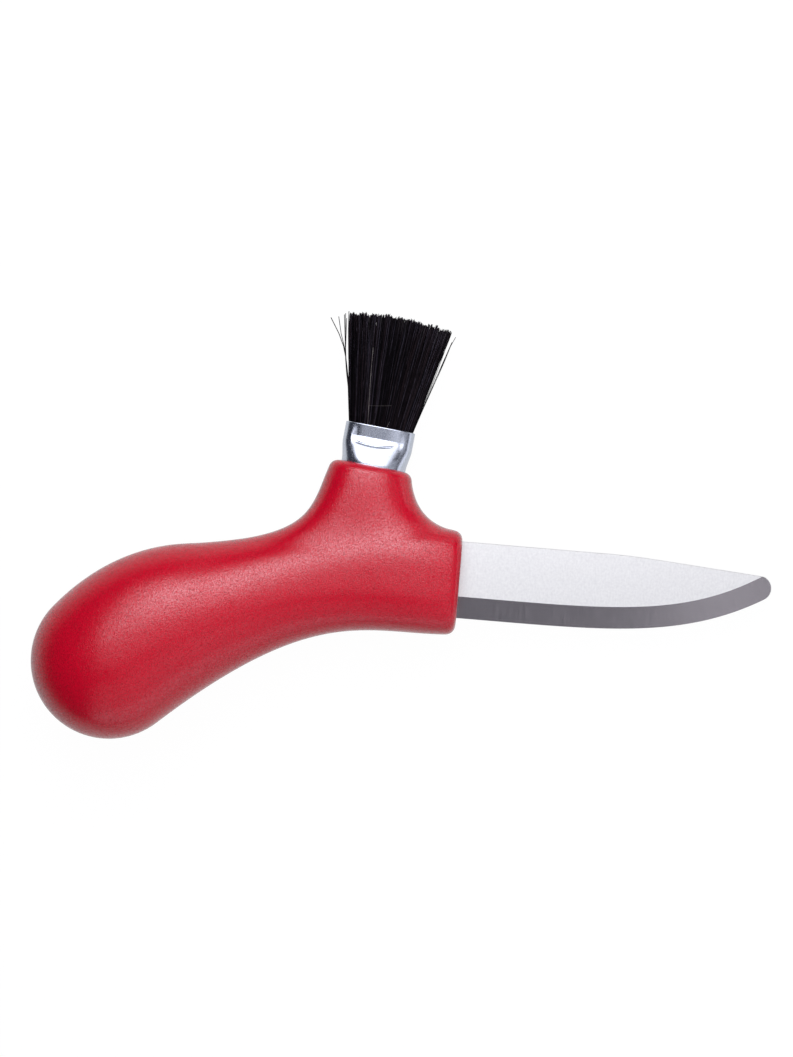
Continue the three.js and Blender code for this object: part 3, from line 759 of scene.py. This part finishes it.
def loose_path(points, off):
    line = np.array(points, float)
    run = run_along(line)
    p, q = (np.interp(STATIONS, run / run[-1], line[:, i]) for i in (0, 1))
    if off == ON_FRONT:
        w = np.interp(q, FRONT_STOPS, FRONT_AT) + LIES_ABOVE
    else:
        w = off * np.clip((q - MOUTH) / SPRINGS_OVER, LEAST_OFF, 1)
    return np.column_stack((p, q, w))


paths = np.concatenate((hair_paths, [loose_path(points, off) for _, _, points, off in LOOSE]))
radii = np.concatenate((hair_radii, [np.full(len(STATIONS), radius) for radius, _, _, _ in LOOSE]))
tint = np.concatenate((hair_tint, [shade for _, shade, _, _ in LOOSE]))
# Each dark hair's shade rises over its last fifth, so its tip is paler.
paling = np.where(tint < PALE_LIMIT, TIP_PALING, 0)
paler_tips = paling[:, None] * np.interp(STATIONS, (0.8, 1), (0, 1))
print("loose hairs:", len(LOOSE))

# %% Make the tuft
SIDES = 3


def hair_tubes(paths, radii):
    way = np.gradient(paths, axis=1)
    way /= np.linalg.norm(way, axis=2, keepdims=True)
    side = np.cross(way, (0, 0, 1))
    side /= np.linalg.norm(side, axis=2, keepdims=True)
    other = np.cross(side, way)
    angle = turns(SIDES)[None, None, :, None]
    around = np.cos(angle) * side[:, :, None] + np.sin(angle) * other[:, :, None]
    rings = paths[:, :, None] + radii[:, :, None, None] * around
    hairs, steps = paths.shape[:2]
    grid = np.arange(hairs * steps * SIDES).reshape(hairs, steps, SIDES)
    ahead = np.roll(grid, -1, 2)
    walls = np.stack((grid[:, :-1], ahead[:, :-1], ahead[:, 1:], grid[:, 1:]), -1)
    caps = grid[:, 0].tolist() + grid[:, -1, ::-1].tolist()
    return from_brush(rings.reshape(-1, 3)), walls.reshape(-1, 4).tolist() + caps


tuft = set_down("tuft_hairs", *hair_tubes(paths, radii))
finish_shape(tuft, "tuft_bristles", crease_deg=80)
remember(tuft, "hair_shade", np.repeat(tint[:, None] + paler_tips, SIDES, axis=1), "FLOAT")

# %% [markdown]
# ## Writing finishes
#
# A finish is a small tree of nodes. It could be built by hand in the shader editor, but that
# means many boxes and wires, so one class wraps a socket and lets sums be written as Python,
# and one method adds any other node: its type, its settings, and the values or links of its
# sockets. A few short methods name the nodes that come back often.

# %% Sums of sockets


class Socket:
    def __init__(self, finish, socket):
        self.finish, self.socket = finish, socket

    def sum_of(self, operation, first, second):
        return self.finish.add("ShaderNodeMath", {"operation": operation}, {0: first, 1: second})

    def __add__(self, other):
        return self.sum_of("ADD", self, other)

    def __sub__(self, other):
        return self.sum_of("SUBTRACT", self, other)

    def __rsub__(self, other):
        return self.sum_of("SUBTRACT", other, self)

    def __mul__(self, other):
        return self.sum_of("MULTIPLY", self, other)

    def __abs__(self):
        return self.sum_of("ABSOLUTE", self, 0)

    __radd__, __rmul__ = __add__, __mul__


print("sums ready: + - * abs")

# %% Nodes of a finish


class Finish:
    def __init__(self, owner):
        owner.use_nodes = True
        self.owner, self.tree = owner, owner.node_tree
        self.tree.nodes.clear()

    def add(self, kind, settings=None, sockets=None, out=0):
        node = self.tree.nodes.new(kind)
        for name, value in (settings or {}).items():
            if name == "stops":
                for place, _ in value[2:]:
                    node.color_ramp.elements.new(place)
                for stop, (place, colour) in zip(node.color_ramp.elements, value):
                    stop.position, stop.color = place, colour
            else:
                setattr(node, name, value)
        for name, value in (sockets or {}).items():
            if isinstance(value, Socket):
                self.tree.links.new(value.socket, node.inputs[name])
            else:
                node.inputs[name].default_value = value
        return Socket(self, node.outputs[out]) if node.outputs else None

    def place(self, attribute="along_knife"):
        return self.add("ShaderNodeAttribute", {"attribute_name": attribute}, out="Vector")

    def stretched(self, vector, scale):
        return self.add("ShaderNodeVectorMath", {"operation": "MULTIPLY"}, {0: vector, 1: scale})

    def noise(self, vector, scale, detail=2.0):
        sockets = {"Vector": vector, "Scale": scale, "Detail": detail}
        return self.add("ShaderNodeTexNoise", None, sockets)

    def fade(self, value, start, end, first=0.0, last=1.0):
        sockets = {"Value": value, "From Min": start, "From Max": end}
        sockets |= {"To Min": first, "To Max": last}
        return self.add("ShaderNodeMapRange", {"interpolation_type": "SMOOTHSTEP"}, sockets)

    def colour(self, first, second, share, blend="MIX"):
        settings = {"data_type": "RGBA", "blend_type": blend}
        return self.add("ShaderNodeMix", settings, {0: share, 6: first, 7: second}, out=2)

    def bump(self, height, depth_mm, strength=1.0):
        sockets = {"Strength": strength, "Distance": depth_mm * MM, "Height": height}
        return self.add("ShaderNodeBump", None, sockets)

    def surface(self, **sockets):
        named = {name.replace("_", " "): value for name, value in sockets.items()}
        shader = self.add("ShaderNodeBsdfPrincipled", None, named)
        self.add("ShaderNodeOutputMaterial", None, {"Surface": shader})
        return self.owner


def new_finish(name):
    return Finish(bpy.data.materials.new(name))


print("node helpers ready")

# %% [markdown]
# ## Red moulded plastic
#
# The mould was spark-eroded, so the plastic has a fine pebbled grain, under half a millimetre
# from peak to peak. Under a soft lamp its peaks catch a grey-pink sheen, small pits stay dark
# and the rest keeps its deep red. The grain could be modelled, but it is far finer than
# the mesh, so the finish carries it: one noise says how much sheen each peak has, another
# dulls the pits and paints shade into them as a darker red, and both make a shallow bump.
# A thin witness line shows where the mould's halves met.

# %% Finish the handle
RED, DEEP_RED = (0.69, 0.0016, 0.023, 1), (0.65, 0.001, 0.02, 1)
# The pits' darker red is painted shade in the grain's hollows.
PIT_SHADE_RED = (0.45, 0.0008, 0.013, 1)
PEBBLES_PER_MM, SPARKS_PER_MM, CLOUDS_PER_MM = 3.8, 3.3, 0.12
PEAK_FADE, PIT_FADE, GRAIN_DEPTH, SEAM_HALF_WIDTH = (0.38, 0.62), (0.55, 0.8), 0.046, 0.14


def red_plastic():
    plastic = new_finish("red_moulded_plastic")
    place = plastic.place()
    pebbles = plastic.noise(place, PEBBLES_PER_MM, 0.0)
    peaks = plastic.fade(pebbles, *PEAK_FADE)
    pits = plastic.fade(plastic.noise(place, SPARKS_PER_MM, 0.0), *PIT_FADE)
    off_middle = abs(plastic.add("ShaderNodeSeparateXYZ", None, {0: place}, out="Z"))
    seam = plastic.fade(off_middle, 0, SEAM_HALF_WIDTH, 1, 0)
    tone = plastic.colour(RED, DEEP_RED, plastic.noise(place, CLOUDS_PER_MM, 3.0))
    return plastic.surface(
        # Painted shade: the pits are coloured a darker red.
        Base_Color=plastic.colour(tone, PIT_SHADE_RED, 0.7 * pits),
        Roughness=0.19 + 0.05 * pebbles + 0.15 * pits,
        Specular_IOR_Level=0.36,
        Coat_Weight=(0.03 + 0.88 * peaks) * (1 - 0.8 * pits),
        Coat_Roughness=0.23,
        Normal=plastic.bump(pebbles - 0.3 * pits + 0.1 * seam, GRAIN_DEPTH),
    )


handle.data.materials.append(red_plastic())
print("handle finish:", handle.data.materials[0].name)

# %% [markdown]
# ## Satin steel
#
# The strip's flats are rolled and tumbled to an even pale satin with a faint mottle. The bevels
# come off the grinding wheel, and show fine marks straight across them, from the edge up.
# One steel with a mask would do, but the two faces are made by different tools, so each has
# a finish of its own, and the bevel's marks follow the edge by the attribute kept earlier.

# %% Mix the two steels


def satin_flat():
    steel = new_finish("satin_steel_flat")
    place = steel.place()
    mottle = steel.noise(place, 1.8, 1.0)
    rolled = steel.noise(steel.stretched(place, (3.0, 0.7, 1.0)), 1.0, 0.0)
    shade = 0.7 * mottle + 0.3 * rolled
    return steel.surface(
        Base_Color=steel.colour((0.675, 0.68, 0.665, 1), (0.865, 0.875, 0.845, 1), shade),
        Metallic=1.0,
        Roughness=0.27 + 0.08 * shade,
        Normal=steel.bump(rolled, 0.004, 0.4),
    )


def ground_bevel():
    steel = new_finish("ground_steel_bevel")
    place = steel.place("along_edge")
    lines = steel.noise(steel.stretched(place, (9.0, 0.2, 1.0)), 1.0, 3.0)
    wide = steel.noise(place, 0.5, 2.0)
    shade = 0.65 * lines + 0.35 * wide
    return steel.surface(
        Base_Color=steel.colour((0.53, 0.5, 0.51, 1), (0.69, 0.65, 0.67, 1), shade),
        Metallic=1.0,
        Roughness=0.16 + 0.1 * lines,
        Normal=steel.bump(lines, 0.003, 0.4),
    )


print("steels mixed")

# %% Finish the blade
LAND_TILT, FLAT_TILT = 0.9, 0.993
blade.data.materials.append(satin_flat())
blade.data.materials.append(ground_bevel())
for face in blade.data.polygons:
    tilt = abs(face.normal.dot(off_flat))
    near_edge = max(from_edge[list(face.vertices)]) < BEVEL_HEIGHT + EASE_WIDTH
    face.material_index = int(near_edge and LAND_TILT < tilt < FLAT_TILT)
print("bevel faces:", sum(face.material_index for face in blade.data.polygons))

# %% [markdown]
# ## Tinned sheet
#
# The ferrule is bright but not a mirror: the tin has flowed into faint clouds, and drawing
# the tube has left fine lines along it. A strong bump could show both, but it would break up
# the long reflections that say metal. So they go into the colour and the roughness,
# and the bump stays slight.

# %% Finish the ferrule


def tinned_sheet():
    tin = new_finish("tinned_sheet")
    place = tin.place()
    cloud = tin.noise(place, 2.2, 3.0)
    drawn = tin.noise(tin.stretched(place, (6.0, 0.5, 6.0)), 1.0, 2.0)
    return tin.surface(
        Base_Color=tin.colour((0.54, 0.59, 0.68, 1), (0.76, 0.81, 0.9, 1), cloud),
        Metallic=1.0,
        Roughness=0.15 + 0.14 * cloud + 0.06 * drawn,
        Normal=tin.bump(0.5 * cloud + 0.5 * drawn, 0.009, 0.4),
    )


ferrule.data.materials.append(tinned_sheet())
print("ferrule finish:", ferrule.data.materials[0].name)

# %% [markdown]
# ## Bristle, resin and glue
#
# The bristle is black with a warm brown cast in some hairs, and the loose ones on the front
# are pale grey. Each shade could have a finish, but each hair's own shade was kept with
# its points, so one finish covers them all. The resin and the glue are out of sight inside
# the brush and its socket, and keep their solids with a finish of their own.

# %% Finish the tuft


def black_bristle():
    hair = new_finish("black_bristle")
    own = hair.add("ShaderNodeAttribute", {"attribute_name": "hair_shade"}, out="Fac")
    stops = [
        (0.0, (0.0008, 0.0006, 0.001, 1)),
        (0.3, (0.005, 0.0038, 0.0055, 1)),
        (0.48, (0.018, 0.0115, 0.0142, 1)),
        (0.72, (0.042, 0.038, 0.053, 1)),
        (PALE_LIMIT, (0.05, 0.045, 0.04, 1)),
        (1.0, (0.42, 0.4, 0.38, 1)),
    ]
    streak = hair.noise(hair.stretched(hair.place(), (5.0, 0.5, 5.0)), 1.0, 1.0)
    own_colour = hair.add("ShaderNodeValToRGB", {"stops": stops}, {"Fac": own})
    dark = hair.colour((0, 0, 0, 1), (2, 2, 2, 1), streak)
    shaded = hair.colour(own_colour, dark, 1.0, "MULTIPLY")
    return hair.surface(Base_Color=shaded, Roughness=0.42 + 0.15 * streak, Specular_IOR_Level=0.08)


tuft.data.materials.append(black_bristle())
print("tuft finish:", tuft.data.materials[0].name)

# %% Finish the resin and the glue


def set_filling(name, first, second, roughness):
    filling = new_finish(name)
    cloud = filling.noise(filling.add("ShaderNodeTexCoord", out="Object"), 900.0, 3.0)
    return filling.surface(
        Base_Color=filling.colour(first, second, cloud),
        Roughness=roughness + 0.15 * cloud,
        Normal=filling.bump(cloud, 0.03, 0.4),
    )


FILLINGS = {
    "setting_resin": ("amber_resin", (0.2, 0.1, 0.03, 1), (0.3, 0.17, 0.06, 1), 0.25),
    "socket_glue": ("cloudy_glue", (0.62, 0.58, 0.44, 1), (0.72, 0.68, 0.55, 1), 0.45),
}
for node, recipe in FILLINGS.items():
    solid = frame["nodes"][node]
    solid.data.materials.clear()
    solid.data.materials.append(set_filling(*recipe))
print("fillings:", ", ".join(FILLINGS))

# %% [markdown]
# ## What stands for what
#
# Each finer piece rides on the knife's one body, and the solids it stands for are hidden.
# The table also names a finish slot of the record for each piece, which is not used here.
# Each could be tied where it is made, but one table shows at a glance that no solid in sight
# is left without its piece.

# %% Tie pieces to the solids
DRESSED = (
    (handle, "handle_plastic", ("handle",)),
    (blade, "blade_steel", ("blade",)),
    (ferrule, "ferrule_sheet", ("ferrule",)),
    (tuft, "bristle", ("bristles_1", "bristles_2", "bristles_3", "bristles_4")),
)
for piece, slot, solids in DRESSED:
    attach(piece, "root")
    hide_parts(*solids)
print("dressed:", ", ".join(piece.name for piece, _, _ in DRESSED))

# %% [markdown]
# ## Floor and light
#
# The knife was photographed on white, under soft light. One big lamp beyond the brush would
# do for a start, but the highlight on the handle fades slowly outwards, so the key is three
# lamps, one within the other. A panel overhead makes the blade's flats bright. A low strip
# behind, two lamps at the right and two in front light the rims, and a small card brightens
# the bevel by the tip. The left stays dark, which gives the bevels and the ferrule's sides
# their grey. The floor is white to the camera. In reflections its glow is a painted pool of
# light, full near the knife and down to a quarter further out, and it still takes a soft shadow.

# %% Lay the floor
FLOOR_HALF, FLOOR_AT, FLOOR_GLOW, SEEN_GLOW, MIRRORED_GLOW = 3.0, -0.00013, 1.15, 0.85, 0.55
# Where the painted pool of light in the floor's reflected glow lies, and how it fades.
POOL_AT, POOL_NEAR, POOL_FAR, PAST_POOL = (0.14, -0.2, 0), 0.3, 0.42, 0.25
FLOOR_CORNERS = ((-1, -1), (1, -1), (1, 1), (-1, 1))


def rays_to(finish):
    rays = ("Is Camera Ray", "Is Glossy Ray", "Is Transmission Ray")
    seen, glossy, through = (finish.add("ShaderNodeLightPath", out=ray) for ray in rays)
    return seen, glossy + through


def white_floor():
    floor = new_finish("white_sweep")
    seen, mirrored = rays_to(floor)
    place = floor.add("ShaderNodeTexCoord", out="Object")
    ends = {0: place, 1: POOL_AT}
    away = floor.add("ShaderNodeVectorMath", {"operation": "DISTANCE"}, ends, out="Value")
    # Painted pool of light: the glow seen in reflections fades with distance from the knife.
    sheet = floor.fade(away, POOL_NEAR, POOL_FAR, 1, PAST_POOL)
    paper = floor.colour((0.26, 0.26, 0.26, 1), (0.28, 0.28, 0.28, 1), floor.noise(place, 40.0))
    painted = floor.add("ShaderNodeBsdfDiffuse", None, {"Color": paper})
    glowing = floor.add("ShaderNodeEmission", None, {"Color": (1, 1, 1, 1), "Strength": FLOOR_GLOW})
    glow = SEEN_GLOW * seen + MIRRORED_GLOW * mirrored * sheet
    mixed = floor.add("ShaderNodeMixShader", None, {0: glow, 1: painted, 2: glowing})
    floor.add("ShaderNodeOutputMaterial", None, {"Surface": mixed})
    return floor.owner


corners = [(x * FLOOR_HALF, y * FLOOR_HALF, FLOOR_AT) for x, y in FLOOR_CORNERS]
floor_mesh = bpy.data.meshes.new("floor")
floor_mesh.from_pydata(corners, [], [(0, 1, 2, 3)])
floor_mesh.materials.append(white_floor())
floor = bpy.data.objects.new("floor", floor_mesh)
bpy.context.scene.collection.objects.link(floor)
print("floor laid")

# %% Hang the lamps
BEHIND_FRONT, LAMP_TINT = 52, (1.0, 0.985, 1.06)
lit_at = knife_start - MM * BEHIND_FRONT * to_tip
# Degrees to the right and beyond, distance, width and height in metres, brightness.
SOFTBOXES = {
    "panel_overhead": (5, 6, 0.8, 0.74, 0.45, 0.77),
    "key_wide": (1, 37.5, 0.6, 0.66, 0.56, 1.36),
    "key_middle": (0, 38, 0.45, 0.33, 0.31, 1.35),
    "key_core": (0, 39.5, 0.45, 0.175, 0.175, 2.4),
    "back_low": (52, 78, 1.1, 0.7, 0.3, 0.8),
    "side_wide": (46, 0, 1.0, 0.55, 1.2, 0.33),
    "side_low": (83, 0, 1.0, 0.3, 1.5, 1.0),
    "front_wide": (30, -52, 1.0, 1.3, 1.25, 0.46),
    "front_low": (54, -74, 1.2, 1.6, 0.55, 0.45),
    "card_by_tip": (22, -16, 1.0, 0.18, 0.2, 0.25),
}


def softbox(name, side_deg, beyond_deg, distance, width, height, brightness):
    aside, beyond = (math.tan(math.radians(turn)) for turn in (side_deg, beyond_deg))
    way = Vector((aside, beyond, 1)).normalized()
    along = (Vector((1, 0, 0)) - way * way.x).normalized()
    lamp = bpy.data.lights.new(name, "AREA")
    lamp.shape, lamp.size, lamp.size_y = "RECTANGLE", width, height
    lamp.energy, lamp.color = brightness * math.pi * width * height, LAMP_TINT
    hung = bpy.data.objects.new(name, lamp)
    turned = Matrix((along, way.cross(along), way)).transposed().to_4x4()
    hung.matrix_world = Matrix.Translation(lit_at + way * distance) @ turned
    hung.visible_camera = False
    bpy.context.scene.collection.objects.link(hung)


for name, setting in SOFTBOXES.items():
    softbox(name, *setting)
print("lamps hung:", len(SOFTBOXES))

# %% Paint the room
DIM, PALE, HORIZON, HORIZON_TOP = (0.035, 0.038, 0.05, 1), (1, 1, 1, 1), 0.3, 0.06
room = Finish(bpy.data.worlds.new("studio"))
bpy.context.scene.world = room.owner
sky = room.add("ShaderNodeTexCoord", out="Generated")
upward = room.add("ShaderNodeSeparateXYZ", None, {0: sky}, out="Z")
low = room.fade(upward, 0, HORIZON_TOP, 1, 0)
seen, mirrored = rays_to(room)
shown = room.colour(DIM, PALE, seen + HORIZON * mirrored * low)
air = room.add("ShaderNodeBackground", None, {"Color": shown})
room.add("ShaderNodeOutputWorld", None, {"Surface": air})
print("room painted")

# %% [markdown]
# ## Camera
#
# The photograph looks straight down on the blade's flat. A camera could be placed by eye,
# but the knife's own axes give the view exactly: it looks down along the flat's normal,
# through a long lens, turned a little so that the tip hangs.

# %% Place the camera
LENS, SENSOR = 120.0, 36.0
VIEW_CENTRE, VIEW_HEIGHT, VIEW_TURN = (-15.31, 10.66), 243.0, math.radians(4.8)
middle = knife_start + MM * (VIEW_CENTRE[0] * to_tip + VIEW_CENTRE[1] * to_brush)
right = math.cos(VIEW_TURN) * to_tip + math.sin(VIEW_TURN) * to_brush
up = off_flat.cross(right)
camera = bpy.data.objects.new("camera", bpy.data.cameras.new("camera"))
camera.data.lens, camera.data.sensor_width, camera.data.sensor_fit = LENS, SENSOR, "AUTO"
view = Matrix((right, up, off_flat)).transposed().to_4x4()
view.translation = middle + off_flat * (VIEW_HEIGHT * MM * LENS / SENSOR)
camera.matrix_world = view
bpy.context.scene.collection.objects.link(camera)
bpy.context.scene.camera = camera
bpy.context.scene.view_settings.view_transform = "Standard"
print("camera at", [round(x, 3) for x in view.translation])
